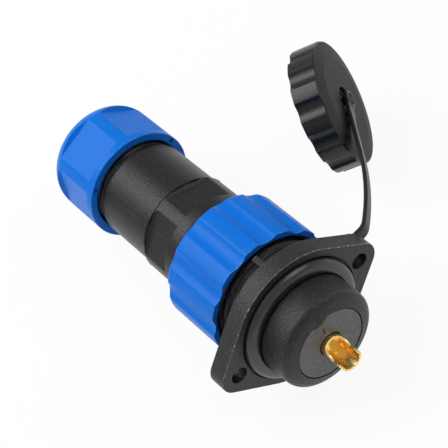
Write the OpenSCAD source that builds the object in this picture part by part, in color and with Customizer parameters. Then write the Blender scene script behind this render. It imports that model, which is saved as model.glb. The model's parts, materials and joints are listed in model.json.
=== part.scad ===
// Waterproof circular connector: a flange receptacle with a dust cap, mated with a cable plug.
// The origin is the centre of the flange's panel face. The plug lies along +Y, the solder cup
// along -Y, and +Z points to the index lug. Turned pieces are drawn on the connector's own axis,
// where a station is a distance ahead of the panel face, positive towards the plug.

/* [Flange] */
// Thickness of the flange
flange_t = 5.2; // [4:0.1:8]
// Width of the flange's round middle beyond the barrel
flange_rim = 4.25; // [3.6:0.05:7]
// Distance of a mounting hole's middle from the barrel
hole_reach = 5.15; // [4.8:0.05:8]
// Radius of a mounting hole
hole_r = 2.25; // [1.6:0.05:2.6]
// Radius of a flange corner round its hole
corner_r = 5.2; // [4.6:0.1:6.5]
// Width of the index lug on the flange's rim
lug_w = 1.6; // [1:0.1:3]
// Length of the index lug ahead of the flange
lug_len = 3.2; // [1:0.1:5]
// Radial depth of the index lug
lug_depth = 2.2; // [1:0.1:3]

/* [Receptacle shell] */
// Radius of the rear body that goes through the panel
rear_r = 14; // [12.4:0.1:16]
// Length of the rear body behind the panel face
rear_len = 11.9; // [10:0.1:16]
// Slope round the rear body's end
rear_round = 1.65; // [0.8:0.05:2]
// Fall of the rear rim from the insert to its edge
rim_fall = 0.65; // [0.2:0.05:1]
// Radius of the scoop across the rear rim
rim_scoop_r = 2; // [1.2:0.1:3]
// Radius of the threaded barrel
barrel_r = 15.6; // [14.4:0.1:17.4]
// Length of the barrel ahead of the flange
barrel_len = 17.8; // [17:0.1:20]
// Wall of the barrel
barrel_wall = 3.2; // [2.8:0.1:3.3]
// Width of the key in the barrel's bore
key_w = 2.4; // [1.6:0.1:4]
// Height of the key in the barrel's bore
key_h = 1; // [0.6:0.1:1.1]

/* [Panel gasket] */
// Width of the gasket's foot on the flange
gasket_w = 3.4; // [2:0.1:3.8]
// Height of the gasket at the rear body
gasket_h = 2.2; // [1.2:0.1:3.5]
// Depth of the groove that keeps the gasket on the rear body
gasket_groove = 0.3; // [0.2:0.05:0.6]
// Width of the groove round the gasket's foot in the flange
foot_groove_w = 0.45; // [0.3:0.05:0.7]
// Depth of the groove round the gasket's foot in the flange
foot_groove_depth = 0.8; // [0.3:0.1:1.5]

/* [Receptacle insert] */
// Step from the barrel's bore down to the insert's seating flange
insert_step = 1.4; // [0.8:0.1:2.4]
// Rim of the insert's seating flange beyond the insert
insert_rim = 1; // [0.6:0.1:1.6]
// Length of the insert's seating flange
insert_flange_t = 3.5; // [2:0.1:4.5]
// Depth of the insert's seat behind the panel face
insert_seat = 3; // [1:0.1:5]
// Depth of the insert's face below the rear body's end
insert_sink = 0.15; // [0:0.05:1]
// Radius of the insert's tower
tower_r = 6.6; // [6:0.1:7.4]
// Length of the insert's tower
tower_len = 15; // [14:0.1:16.5]
// Thickness of the socket's entry cap
entry_cap_t = 1.2; // [0.8:0.1:1.8]
// Thickness of the ring that holds the insert
insert_ring_t = 3; // [2:0.1:4]
// Depth of the keying notch in the insert's rim
notch_depth = 1.2; // [0.6:0.1:1.8]
// Radius of the keying notch
notch_r = 3; // [2:0.1:4]

/* [Contacts] */
// Radius of the pin
pin_r = 2.5; // [2:0.05:2.7]
// Length of the pin ahead of its insert's wall
pin_len = 9; // [7:0.1:9.5]
// Radius of the pin's seating flange
pin_flange_r = 4.4; // [4:0.1:5]
// Thickness of the pin's seating flange
pin_flange_t = 2; // [1.2:0.1:3]
// Radius of the socket's body
socket_r = 4; // [3.8:0.05:4.6]
// Thickness of the spring band in the socket
band_t = 0.4; // [0.2:0.05:0.5]
// Length of the spring band
band_len = 5; // [3:0.1:5.5]
// Number of slots in the spring band
band_slots = 10; // [6:1:16]
// Outer radius of a solder cup
cup_r = 3.1; // [2.8:0.05:3.3]
// Wall of a solder cup
cup_wall = 0.7; // [0.5:0.05:1]
// Depth of a solder cup
cup_depth = 6.9; // [6:0.1:8]
// Length of the socket's solder cup behind the insert
cup_reach = 7.6; // [7.2:0.1:12]
// Length of a solder cup's open side
cup_open = 6.3; // [4:0.1:7.2]

/* [Coupling ring] */
// Gap between the flange and the coupling ring
ring_gap = 6.1; // [5:0.1:8]
// Wall of the coupling ring at its lands
ring_wall = 2.8; // [2.2:0.05:4.5]
// Thickness of the lip that pulls the plug in
lip_t = 3; // [2:0.1:4]
// Rounding of the coupling ring's cable end
ring_round = 1.2; // [0.4:0.1:1.6]
// Number of flutes round the coupling ring
flute_count = 12; // [8:1:14]
// Depth of a flute
flute_depth = 1.05; // [0.4:0.05:1.2]
// Width of a flute across its edges
flute_w = 5.4; // [3:0.1:6]
// Angle of the first flute from the strap side
flute_turn = 10.5; // [0:0.5:30]

/* [Plug shell] */
// Thickness of the plug's flange inside the coupling ring
plug_flange_t = 2.7; // [2:0.1:4]
// Thickness of the seal between the two shells
seal_t = 1.6; // [1:0.1:2.4]
// Wall of the plug's spigot
spigot_wall = 1.5; // [1.2:0.05:1.7]
// Step from the plug's flange down to the collar behind the coupling ring
collar_step = 1; // [0.7:0.05:1.6]
// Length of the collar behind the coupling ring
collar_len = 6.4; // [5:0.1:9]
// Height of the bead that keeps the coupling ring on
bead_h = 0.9; // [0.6:0.05:1.2]
// Length of the wrench flats
flats_len = 10.1; // [6:0.1:14]
// Number of wrench flats
flat_count = 5; // [4:1:8]
// Width of the land between two wrench flats
land_w = 3.75; // [2:0.05:4.5]
// Angle of the top land from the strap side
land_turn = 102.7; // [90:0.1:120]
// Width of the relief between the wrench flats and the plug's main body
relief_w = 1.7; // [0.8:0.1:3]
// Step from the lands down to the plug's main body
body_step = 0.7; // [0.3:0.05:1]
// Length of the plug's main body
body_len = 19; // [14:0.5:30]
// Thickness of the ring that holds the plug's insert
plug_ring_t = 3.5; // [2.5:0.1:5]

/* [Cable gland] */
// Step from the main body down to the threaded neck
neck_step = 0.7; // [0.5:0.05:1]
// Length of the threaded neck
neck_len = 13.9; // [12.5:0.1:18]
// Wall of the threaded neck
neck_wall = 1.2; // [1:0.05:1.5]
// Depth of the gland's bore
gland_depth = 14.5; // [13:0.1:16]
// Gap between the plug's body and the gland nut
nut_gap = 2.65; // [1.5:0.05:4]
// Thickness of the slip washer
washer_t = 1.5; // [1:0.1:2.5]
// Radius of the cable's way through the seal
cable_r = 6.5; // [5:0.1:7]
// Wall of the gland nut between its flats
nut_wall = 2.55; // [2:0.05:4]
// Relief of the gland nut's mouth beyond its thread
nut_mouth = 0.9; // [0.4:0.05:1.2]
// Length of the round rim at the nut's mouth
nut_rim = 2.3; // [1.5:0.1:3]
// Wall of the gland nut at the middle of a flat
nut_flat_wall = 1.2; // [0.8:0.05:1.8]
// Length of the nut's flats
nut_flat_len = 13.6; // [9:0.1:14]
// Number of flats round the nut
nut_flat_count = 6; // [4:1:8]
// Angle of the first flat from the strap side
nut_turn = 48; // [0:1:60]
// Rounding of the nut's cable end
nut_round = 6.6; // [4:0.1:6.8]
// Clearance round the cable in the nut's end
nut_hole_gap = 1.5; // [0.6:0.1:1.7]
// Thickness of the nut's cable end
nut_end_t = 1.8; // [1.4:0.1:3]
// Length of the clamp's fingers
finger_len = 6; // [4:0.1:7]
// Number of fingers on the clamp
finger_count = 8; // [6:1:12]

/* [Dust cap] */
// Wall of the cap at its ribs
cap_wall = 1.8; // [1.5:0.05:3]
// Height of the cap's side
cap_h = 7.9; // [7:0.1:12]
// Radius of the raised disc on the cap's face
cap_disc_r = 13; // [10:0.1:14.5]
// Height of the raised disc on the cap's face
cap_disc_h = 0.65; // [0.3:0.05:1]
// Thickness of the cap's end wall
cap_end_t = 2; // [1.4:0.1:3]
// Thickness of the rubber disc in the cap
cap_seal_t = 1.2; // [0.8:0.1:2]
// Number of grooves round the cap
cap_groove_count = 12; // [8:1:14]
// Depth of a groove
cap_groove_depth = 1.15; // [0.4:0.05:1.2]
// Width of a groove across its edges
cap_groove_w = 5.2; // [3:0.1:6]
// Angle of the first groove on the cap
cap_groove_turn = 8; // [0:1:30]
// Radius of the pocket in the cap's face
pocket_r = 4; // [3.4:0.1:8]
// Depth of the pocket in the cap's face
pocket_depth = 1.3; // [0.4:0.1:1.6]
// Radius of the button's neck in the pocket
button_neck_r = 0.9; // [0.7:0.05:1.05]
// Radius of the button's head
button_head_r = 1.5; // [1.3:0.05:1.6]
// Height of the button's shoulder above the cap's face
button_rise = 0.1; // [0.05:0.05:1]

/* [Strap] */
// Width of the strap
strap_w = 3.9; // [3:0.1:5]
// Thickness of the strap
strap_t = 1.1; // [0.7:0.1:1.2]
// Radius of the strap's eye on the flange
eye_r = 4.4; // [4.1:0.1:5]
// Radius of the strap's eye on the cap
cap_eye_r = 2.6; // [2.4:0.1:5]
// Thickness of the strap's two eyes
eye_t = 1.3; // [1.2:0.1:2]
// Straight length of the strap on the flange
strap_lead = 6; // [4:0.1:8]
// Bend radius at the flange's tip
strap_bend_r = 4; // [3:0.1:8]
// Angle at which the strap leaves the flange
strap_lift = 40; // [30:1:45]
// Radius of the strap's long curve
strap_curve_r = 68.7; // [55:0.1:90]
// Angle of the cap's face, which the strap's end lies along
strap_tilt = 52.65; // [48:0.05:60]
// Angle at which the strap leaves the cap's face
strap_kick = 6; // [2:0.5:10]
// Straight length of the strap beside the cap
strap_tail = 11.9; // [8:0.1:16]
// Length over which the strap settles on the cap
strap_settle = 6; // [4:0.1:10]
// Twist of the strap at the cap
strap_twist = 10.9; // [0:0.1:20]

/* [Fits] */
// Clearance between pieces that turn or slide
run = 0.3; // [0.2:0.02:0.34]
// Clearance between pieces that seat in each other
seat = 0.1; // [0.05:0.01:0.15]
// Clearance of the pin in the socket and of the button in its eye
pin_fit = 0.08; // [0.04:0.01:0.1]

/* [Hidden] */

$fn = 96;
arc_steps = 6;
groove_sides = 48;
over = 1;
edge = 0.4;
black = [0.16, 0.16, 0.17];
rubber = [0.08, 0.08, 0.09];
grey = [0.24, 0.24, 0.25];
blue = [0.02, 0.36, 0.86];
gold = [0.86, 0.62, 0.22];

// Stations of the receptacle
insert_front = insert_flange_t - insert_seat;
insert_rear = insert_sink - rear_len;
tower_front = insert_front + tower_len;
tower_end = tower_front + entry_cap_t;
insert_ring_end = insert_front + insert_ring_t;
floor_relief = 0.5;
bore_floor = insert_ring_end + floor_relief;
barrel_end = flange_t + barrel_len;
barrel_bore = barrel_r - barrel_wall;
flange_r = barrel_r + flange_rim;
insert_flange_r = barrel_bore - insert_step;
insert_r = insert_flange_r - insert_rim;
gasket_r = rear_r + gasket_w;
insert_bore = insert_flange_r + 2 * seat;
gasket_seat_r = rear_r - gasket_groove;
rear_edge = rim_fall - rear_len;

// Stations of the plug
spigot_relief = 2;
spigot_tip = bore_floor + spigot_relief;
spigot_r = barrel_bore - run;
spigot_lip = 1;
plug_insert_r = spigot_r - spigot_wall - seat;
plug_insert_front = spigot_tip + spigot_lip;
cavity_floor = tower_end + run;
cavity_r = tower_r + run;
pin_web = 4;
pin_seat = cavity_floor + pin_web;
pin_tip = cavity_floor - pin_len;
retainer_front = pin_seat + pin_flange_t;
retainer_len = 5;
plug_insert_end = retainer_front + retainer_len;
chamber_r = plug_insert_r + 4 * seat;
plug_ring_end = plug_insert_end + plug_ring_t;
plug_flange_front = barrel_end + seal_t + seat / 2;
plug_flange_end = plug_flange_front + plug_flange_t;
plug_flange_r = barrel_r - seat;
collar_r = plug_flange_r - collar_step;
body_r = collar_r - body_step;
neck_r = body_r - neck_step;
key_slot_r = barrel_bore - key_h - run;

// Stations of the coupling ring
ring_start = flange_t + ring_gap;
ring_bore = barrel_r + run;
ring_r = ring_bore + ring_wall;
lip_front = plug_flange_end + run;
ring_end = lip_front + lip_t;
lip_bore = collar_r + run;

// Stations of the plug's body
bead_start = ring_end + run;
bead_len = 2.6;
bead_r = collar_r + bead_h;
flats_start = ring_end + collar_len;
flats_end = flats_start + flats_len;
land_half = asin(land_w / 2 / collar_r);
flat_dist = collar_r * cos(180 / flat_count - land_half);
relief_step = 0.15;
relief_r = flat_dist - relief_step;
body_end = flats_end + body_len;
shell_end = body_end + neck_len;

// Stations of the gland
gland_bore = neck_r - neck_wall;
gland_seat = shell_end - gland_depth;
washer_end = gland_seat + washer_t;
clamp_spigot = 2;
seal_end = shell_end - clamp_spigot;
clamp_flange = shell_end + run;
clamp_flange_t = 2;
clamp_flange_end = clamp_flange + clamp_flange_t;
finger_end = clamp_flange_end + finger_len;
finger_step = 0.8;
finger_wall = 1.8;
clamp_relief = 1.7;
finger_root_r = neck_r - finger_step;
clamp_bore = cable_r + clamp_relief;
finger_tip_r = clamp_bore + finger_wall;
finger_slope = atan((finger_root_r - finger_tip_r) / finger_len);
cone_offset = run / cos(finger_slope);
nut_bore = neck_r + run;
nut_r = nut_bore + nut_wall;
nut_mouth_r = nut_bore + nut_mouth;
nut_flat = nut_bore + nut_flat_wall;
nut_hole_r = cable_r + nut_hole_gap;
nut_start = body_end + nut_gap;
nut_end = finger_end + run + nut_end_t;
nut_mouth_depth = 1.6;
nut_flat_start = nut_start + nut_rim;
rim_notch_w = 1.5;
rim_notch_depth = 0.8;
rim_notch_count = 3;

// Stations of the contacts
socket_seat = 6;
socket_front = tower_front - seat;
pin_relief = 1;
socket_floor = pin_tip - pin_relief;
band_r = pin_r + pin_fit + band_t;
band_fit = 0.02;
band_sink = 1.5;
socket_bore = band_r + band_fit;
band_front = socket_front - band_sink;
cup_tip = rear_len + cup_reach;
pin_cup_reach = 10.1;
pin_cup_end = plug_insert_end + pin_cup_reach;

// Places of the strap and the cap
hole_x = barrel_r + hole_reach;
eye_hole_r = button_neck_r + pin_fit;
strap_rest = flange_t + eye_t / 2;
eye_lap = 1.2;
cap_bore = barrel_r + run;
cap_r = cap_bore + cap_wall;
cap_lap = 0.8;
cap_lead = cap_eye_r - cap_lap / 2;

// A point at radius r and a station ahead of the panel face, in the plane that is turned
function at(r, station) = [r, -station];

// Points of a quarter-round or other arc round a centre in the turned plane
function arc(centre, r, from, to) =
    [for (i = [0 : arc_steps]) let (a = from + (to - from) * i / arc_steps)
        centre + r * [cos(a), sin(a)]];

// Depth of a groove's cutter below the chord, and its radius, for a groove in a round of radius r
function chord_drop(r, width) = r - sqrt(r * r - width * width / 4);
function cutter_r(r, width, depth) =
    let (sag = depth - chord_drop(r, width)) (width * width / 4 + sag * sag) / (2 * sag);

// Angle to a tangent point on the flange's round middle
tangent = acos((flange_r - corner_r) / hole_x);

// Puts what is drawn on the connector's axis into the part's frame
module on_axis() {
    rotate([90, 0, 0]) children();
}

module turned(points) {
    rotate_extrude() polygon(points);
}

// A straight tube or bar between two stations
module bar(r, from, to) {
    translate([0, 0, -to]) cylinder(h = to - from, r = r);
}

module tube(r, bore, from, to) {
    difference() {
        bar(r, from, to);
        bar(bore, from - over, to + over);
    }
}

// Cutters of round-bottomed grooves spaced round a radius, which run out towards their high end
module grooves(r, count, width, depth, turn, low, high) {
    cut = cutter_r(r, width, depth);
    tip = depth + edge;
    for (i = [0 : count - 1])
        rotate([0, 0, turn + i * 360 / count])
            translate([r - depth + cut, 0, 0])
                rotate_extrude($fn = groove_sides)
                    polygon([[0, low], [cut, low], [cut, high - tip / 2], [cut - tip, high], [0, high]]);
}

// Cutter of a flat between two stations, with sloped ends
module flat_cut(dist, rise, width, from, to) {
    translate([0, width / 2, 0]) rotate([90, 0, 0]) linear_extrude(width)
        polygon([[dist, -to], [dist + rise, -to - rise], [dist + rise, rise - from], [dist, -from]]);
}

// Outline of the flange: a round middle and two round corners joined by tangents
module flange_outline() {
    near = flange_r * [cos(tangent), sin(tangent)];
    far = [hole_x, 0] + corner_r * [cos(tangent), sin(tangent)];
    circle(flange_r);
    for (side = [-1, 1]) translate([side * hole_x, 0]) circle(corner_r);
    polygon([near, far, [far.x, -far.y], [near.x, -near.y], -near, -far, [-far.x, far.y], [-near.x, near.y]]);
}

// Solder cup with an open side, its tip at z = 0, its axis along z and the open side facing +Y
module solder_cup_cut() {
    cup_bore = cup_r - cup_wall;
    open_r = 3.5;
    translate([0, 0, -cup_depth]) cylinder(h = cup_depth + over, r = cup_bore);
    translate([-cup_r - over, 0, open_r - cup_open])
        cube([2 * (cup_r + over), cup_r + over, cup_open - open_r + over]);
    translate([-cup_r - over, open_r, open_r - cup_open])
        rotate([0, 90, 0]) cylinder(h = 2 * (cup_r + over), r = open_r);
}

module receptacle_shell() {
    color(black) on_axis() difference() {
        union() {
            translate([0, 0, -flange_t]) linear_extrude(flange_t) flange_outline();
            turned([at(0, barrel_end), at(barrel_r - edge, barrel_end), at(barrel_r, barrel_end - edge),
                    at(barrel_r, flange_t / 2), at(gasket_seat_r, flange_t / 2),
                    at(gasket_seat_r, -gasket_h - seat), at(rear_r, -gasket_h - seat),
                    at(rear_r, rear_edge + rear_round),
                    at(rear_r - rear_round / 4, rear_edge + rear_round / 2),
                    at(rear_r - rear_round, rear_edge), at(insert_r, -rear_len), at(0, -rear_len)]);
            index_lug();
        }
        for (side = [-1, 1])
            translate([side * hole_x, 0, -flange_t - over]) cylinder(h = flange_t + 2 * over, r = hole_r);
        difference() {
            bar(insert_r + seat, -rear_len - over, 0);
            insert_key(seat);
        }
        rim_scoop();
        tube(gasket_r + foot_groove_w, gasket_r, -over, foot_groove_depth);
        bar(insert_bore, -insert_seat, bore_floor + over);
        difference() {
            bar(barrel_bore, bore_floor, barrel_end + over);
            translate([-key_w / 2, barrel_bore - key_h, over - barrel_end])
                cube([key_w, 2 * key_h, barrel_end - bore_floor]);
        }
    }
}

// Cutter of the shallow scoop from the rear body's side to the insert's key
module rim_scoop() {
    fall = rim_fall + rear_round;
    slope = atan(fall / (rear_r - insert_r));
    translate([0, (rear_r + insert_r) / 2, rear_len - fall / 2]) rotate([90 - slope, 0, 0])
        translate([0, rim_scoop_r, -rear_r / 2]) cylinder(h = rear_r, r = rim_scoop_r);
}

// Rib on the flange's rim that marks the key's side
module index_lug() {
    intersection() {
        tube(flange_r, flange_r - lug_depth, flange_t - over, flange_t + lug_len);
        translate([-lug_w / 2, 0, -flange_t - lug_len - over])
            cube([lug_w, flange_r + over, lug_len + 2 * over]);
    }
}

// Round key that stands in the insert's notch, with a clearance taken off
module insert_key(gap) {
    translate([0, insert_r - notch_depth + notch_r, insert_seat + gap])
        cylinder(h = rear_len, r = notch_r - gap);
}

module panel_gasket() {
    bore = gasket_seat_r + seat;
    foot = 0.5;
    lead = 0.5;
    lip = rear_r + 2 * seat;
    lip_w = 0.8;
    color(rubber) on_axis()
        turned([at(bore, 0), at(gasket_r, 0), at(gasket_r, -foot), at(lip + lip_w, -gasket_h),
                at(lip, -gasket_h), at(bore, lead - gasket_h)]);
}

module receptacle_insert() {
    mark_w = 0.4;
    mark_len = 2.3;
    mark_at = 4.7;
    color(grey) on_axis() difference() {
        union() {
            bar(insert_r, insert_rear, 0);
            bar(insert_flange_r, -insert_seat, insert_front);
            bar(tower_r, 0, tower_front);
        }
        bar(cup_r + 2 * seat, insert_rear - over, tower_front + over);
        bar(socket_r + seat, -socket_seat, tower_front + over);
        intersection() {
            insert_key(0);
            bar(insert_r + over, insert_rear - over, -insert_seat);
        }
        translate([-mark_w / 2, mark_at, -insert_rear - mark_w]) cube([mark_w, mark_len, mark_w + over]);
    }
}

module socket_contact() {
    mouth = 0.3;
    color(gold) on_axis() difference() {
        union() {
            bar(cup_r, -cup_tip, 0);
            bar(socket_r, -socket_seat, socket_front);
        }
        bar(socket_bore, socket_floor, socket_front + over);
        turned([at(0, socket_front - mouth), at(socket_bore, socket_front - mouth),
                at(socket_bore + 2 * mouth, socket_front + mouth), at(0, socket_front + mouth)]);
        translate([0, 0, cup_tip]) solder_cup_cut();
    }
}

module contact_band() {
    slot_w = 0.5;
    rim = 0.8;
    color(gold) on_axis() difference() {
        tube(band_r, band_r - band_t, band_front - band_len, band_front);
        for (i = [0 : band_slots - 1])
            rotate([0, 0, i * 360 / band_slots])
                translate([0, -slot_w / 2, rim - band_front])
                    cube([band_r + over, slot_w, band_len - 2 * rim]);
    }
}

module socket_entry_cap() {
    color(grey) on_axis() tube(tower_r, pin_r + 4 * seat, tower_front, tower_end);
}

module receptacle_insert_ring() {
    slot_w = 1.6;
    color(black) on_axis() difference() {
        tube(insert_bore - seat, tower_r + run, insert_front, insert_ring_end);
        for (turn = [0, 90]) rotate([0, 0, turn])
            translate([-insert_bore, -slot_w / 2, -insert_ring_end - over])
                cube([2 * insert_bore, slot_w, slot_w + over]);
    }
}

// Stretches of the strap from the flange's eye to the cap's eye, each a length and a turn
bend_len = strap_bend_r * strap_lift * PI / 180;
curve_turn = strap_tilt + strap_kick - strap_lift;
curve_len = strap_curve_r * curve_turn * PI / 180;
strap_run = [[strap_lead, 0], [bend_len, strap_lift], [curve_len, curve_turn], [strap_tail, 0],
             [strap_settle, -strap_kick], [cap_lead, 0]];
settle_from = strap_lead + bend_len + curve_len + strap_tail;
settle_to = settle_from + strap_settle;
strap_len = settle_to + cap_lead;

// Point after a stretch that starts at p in the direction a
function after(p, a, reach, turn) =
    turn == 0 ? p + reach * [cos(a), sin(a)]
    : p + reach * 180 / PI / turn * [sin(a + turn) - sin(a), cos(a) - cos(a + turn)];

// Point and direction of the strap's middle line at a length s into its stretches from the i-th on
function along(s, i, p, a) =
    let (reach = strap_run[i][0], turn = strap_run[i][1])
    s > reach && i < len(strap_run) - 1 ? along(s - reach, i + 1, after(p, a, reach, turn), a + turn)
    : [after(p, a, s, turn * s / reach), a + turn * s / reach];

function strap_at(s) = along(s, 0, [hole_x, strap_rest], 0);

// Twist of the strap at a length from the flange's eye, all of it where the strap settles on the cap
function strap_turn(s) =
    let (t = max(0, min(1, (s - settle_from) / strap_settle))) strap_twist * t * t * (3 - 2 * t);

// Four corners of the strap's section at a length from the flange's eye
function strap_section(s) =
    let (p = strap_at(s)[0], a = strap_at(s)[1], w = strap_turn(s), flat = [sin(a), -cos(a), 0],
         out = cos(w) * flat + [0, 0, sin(w)], side = cos(w) * [0, 0, 1] - sin(w) * flat)
    [for (k = [[-1, -1], [1, -1], [1, 1], [-1, 1]])
        [p.x, p.y, 0] + k[0] * strap_t / 2 * out + k[1] * strap_w / 2 * side];

// Band swept through its sections, with flat ends
module strap_band(stations) {
    n = len(stations);
    points = [for (s = stations) each strap_section(s)];
    sides = [for (i = [0 : n - 2], k = [0 : 3])
        let (a = 4 * i + k, b = 4 * i + (k + 1) % 4)
        each [[a, b, b + 4], [a, b + 4, a + 4]]];
    ends = [[0, 3, 2, 1], [4 * n - 4, 4 * n - 3, 4 * n - 2, 4 * n - 1]];
    polyhedron(points, concat(sides, ends));
}

// The cap's own frame: its axis through the strap's far eye, and the eye's middle at z = 0
module on_cap() {
    middle = strap_at(strap_len)[0];
    translate([middle.x, middle.y, 0]) rotate([0, 0, strap_tilt - 90])
        rotate([0, 90 - strap_twist, 0]) rotate([0, 0, 180]) children();
}

module cap_strap() {
    bend_steps = 8;
    curve_steps = 14;
    settle_steps = 6;
    screw_room = 0.5;
    head_room = 0.15;
    stations = concat(
        [eye_r - eye_lap, strap_lead],
        [for (i = [1 : bend_steps]) strap_lead + bend_len * i / bend_steps],
        [for (i = [1 : curve_steps]) strap_lead + bend_len + curve_len * i / curve_steps],
        [for (i = [0 : settle_steps]) settle_from + strap_settle * i / settle_steps],
        [strap_len - cap_eye_r + cap_lap]);
    color(black) {
        difference() {
            union() {
                translate([hole_x, flange_t, 0]) rotate([-90, 0, 0]) cylinder(h = eye_t, r = eye_r);
                strap_band(stations);
            }
            translate([hole_x, flange_t - over, 0]) rotate([-90, 0, 0])
                cylinder(h = eye_t + 2 * over, r = hole_r + screw_room);
        }
        on_cap() difference() {
            translate([0, 0, -eye_t / 2]) cylinder(h = eye_t, r = cap_eye_r);
            translate([0, 0, -eye_t / 2 - over]) cylinder(h = eye_t + 2 * over, r = eye_hole_r);
            cylinder(h = eye_t, r = button_head_r + head_room);
        }
    }
}

// Height of the cap's face disc below the middle of the strap's eye
cap_face = eye_t / 2 + seat + button_rise;

module dust_cap() {
    top = -cap_face;
    shoulder = top - cap_disc_h;
    rim = shoulder - cap_h;
    floor = top - pocket_depth;
    seating = -eye_t / 2 - seat;
    head_edge = eye_t / 4;
    boss_r = (button_neck_r + button_head_r) / 2;
    color(black) on_cap() difference() {
        turned([[0, rim], [cap_r - edge, rim], [cap_r, rim + edge], [cap_r, shoulder - edge],
                [cap_r - edge, shoulder], [cap_disc_r, top], [pocket_r, top], [pocket_r, floor],
                [boss_r, floor], [boss_r, seating], [button_neck_r, seating], [button_neck_r, seat],
                [button_head_r, seat], [button_head_r, head_edge],
                [button_head_r - head_edge, eye_t / 2], [0, eye_t / 2]]);
        translate([0, 0, rim - over])
            cylinder(h = shoulder - cap_end_t - rim + over, r = cap_bore);
        grooves(cap_r, cap_groove_count, cap_groove_w, cap_groove_depth, cap_groove_turn,
                rim - over, shoulder + edge / 2);
    }
}

module cap_seal() {
    shoulder = -cap_face - cap_disc_h;
    color(rubber) on_cap()
        translate([0, 0, shoulder - cap_end_t - cap_seal_t])
            cylinder(h = cap_seal_t, r = cap_bore - seat);
}

module plug_shell() {
    color(black) on_axis() difference() {
        turned([at(0, spigot_tip), at(spigot_r - edge, spigot_tip), at(spigot_r, spigot_tip + edge),
                at(spigot_r, plug_flange_front), at(plug_flange_r, plug_flange_front),
                at(plug_flange_r, plug_flange_end), at(collar_r, plug_flange_end),
                at(collar_r, bead_start), at(bead_r - edge, bead_start), at(bead_r, bead_start + edge),
                at(collar_r, bead_start + bead_len), at(collar_r, flats_end - relief_w),
                at(relief_r, flats_end - relief_w), at(relief_r, flats_end),
                at(body_r - edge / 2, flats_end), at(body_r, flats_end + edge / 2),
                at(body_r, body_end - edge), at(body_r - edge, body_end),
                at(neck_r, body_end), at(neck_r, shell_end - edge), at(neck_r - edge, shell_end),
                at(0, shell_end)]);
        turned([at(0, spigot_tip - over), at(plug_insert_r - spigot_lip, spigot_tip - over),
                at(plug_insert_r - spigot_lip, plug_insert_front),
                at(plug_insert_r + seat, plug_insert_front), at(plug_insert_r + seat, plug_insert_end),
                at(chamber_r, plug_insert_end), at(chamber_r, gland_seat), at(gland_bore, gland_seat),
                at(gland_bore, shell_end + over), at(0, shell_end + over)]);
        wrench_flats();
        key_slot();
    }
}

// Cutters of the wrench flats between the collar and the relief
module wrench_flats() {
    for (i = [0 : flat_count - 1])
        rotate([0, 0, land_turn + (i + 0.5) * 360 / flat_count])
            translate([flat_dist, -collar_r, relief_w / 2 - flats_end])
                cube([collar_r, 2 * collar_r, flats_len - relief_w / 2]);
}

// Cutter of the slot along the spigot that the receptacle's key slides in
module key_slot() {
    difference() {
        translate([-key_w / 2 - run, 0, -plug_flange_front])
            cube([key_w + 2 * run, spigot_r + over, plug_flange_front - spigot_tip + over]);
        bar(key_slot_r, spigot_tip - 2 * over, plug_flange_front + over);
    }
}

module interface_seal() {
    color(rubber) on_axis()
        tube(plug_flange_r - edge, spigot_r + seat / 2, barrel_end + seat / 2, plug_flange_front);
}

module coupling_ring() {
    color(blue) on_axis() difference() {
        turned(concat(
            [at(0, ring_start), at(ring_r - edge / 2, ring_start), at(ring_r, ring_start + edge / 2)],
            arc([ring_r - ring_round, ring_round - ring_end], ring_round, 0, -90),
            [at(0, ring_end)]));
        turned([at(0, ring_start - over), at(ring_bore + edge + over, ring_start - over),
                at(ring_bore, ring_start + edge), at(ring_bore, lip_front), at(lip_bore, lip_front),
                at(lip_bore, ring_end + over), at(0, ring_end + over)]);
        grooves(ring_r, flute_count, flute_w, flute_depth, flute_turn,
                -ring_end - over, 2 * over - ring_start + flute_depth);
    }
}

module plug_insert() {
    color(grey) on_axis() difference() {
        bar(plug_insert_r, plug_insert_front, plug_insert_end);
        bar(cavity_r, plug_insert_front - over, cavity_floor);
        bar(pin_r + seat, cavity_floor - over, pin_seat + over);
        bar(pin_flange_r + seat, pin_seat, plug_insert_end + over);
    }
}

module pin_contact() {
    nose = 1;
    color(gold) on_axis() difference() {
        union() {
            turned([at(0, pin_tip), at(pin_r - nose, pin_tip), at(pin_r, pin_tip + nose),
                    at(pin_r, pin_seat + over), at(0, pin_seat + over)]);
            bar(pin_flange_r, pin_seat, retainer_front);
            bar(cup_r, retainer_front - over, pin_cup_end);
        }
        translate([0, 0, -pin_cup_end]) rotate([0, 180, 0]) solder_cup_cut();
    }
}

module pin_retainer() {
    color(grey) on_axis() tube(pin_flange_r, cup_r + seat, retainer_front, plug_insert_end);
}

module plug_insert_ring() {
    slot_w = 1.6;
    color(black) on_axis() difference() {
        tube(chamber_r - seat, cup_r + 4 * seat, plug_insert_end, plug_ring_end);
        for (turn = [0, 90]) rotate([0, 0, turn])
            translate([-chamber_r, -slot_w / 2, -plug_ring_end - over])
                cube([2 * chamber_r, slot_w, slot_w + over]);
    }
}

module gland_washer() {
    washer_relief = 1;
    color(black) on_axis() tube(gland_bore - seat, cable_r + washer_relief, gland_seat, washer_end);
}

module gland_seal() {
    lip_count = 4;
    groove_depth = 0.8;
    groove_from = 0.3;
    groove_to = 0.7;
    pitch = (seal_end - washer_end) / lip_count;
    color(rubber) on_axis() difference() {
        tube(gland_bore - seat, cable_r, washer_end, seal_end);
        for (i = [0 : lip_count - 1])
            bar(cable_r + groove_depth,
                washer_end + (i + groove_from) * pitch, washer_end + (i + groove_to) * pitch);
    }
}

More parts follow.
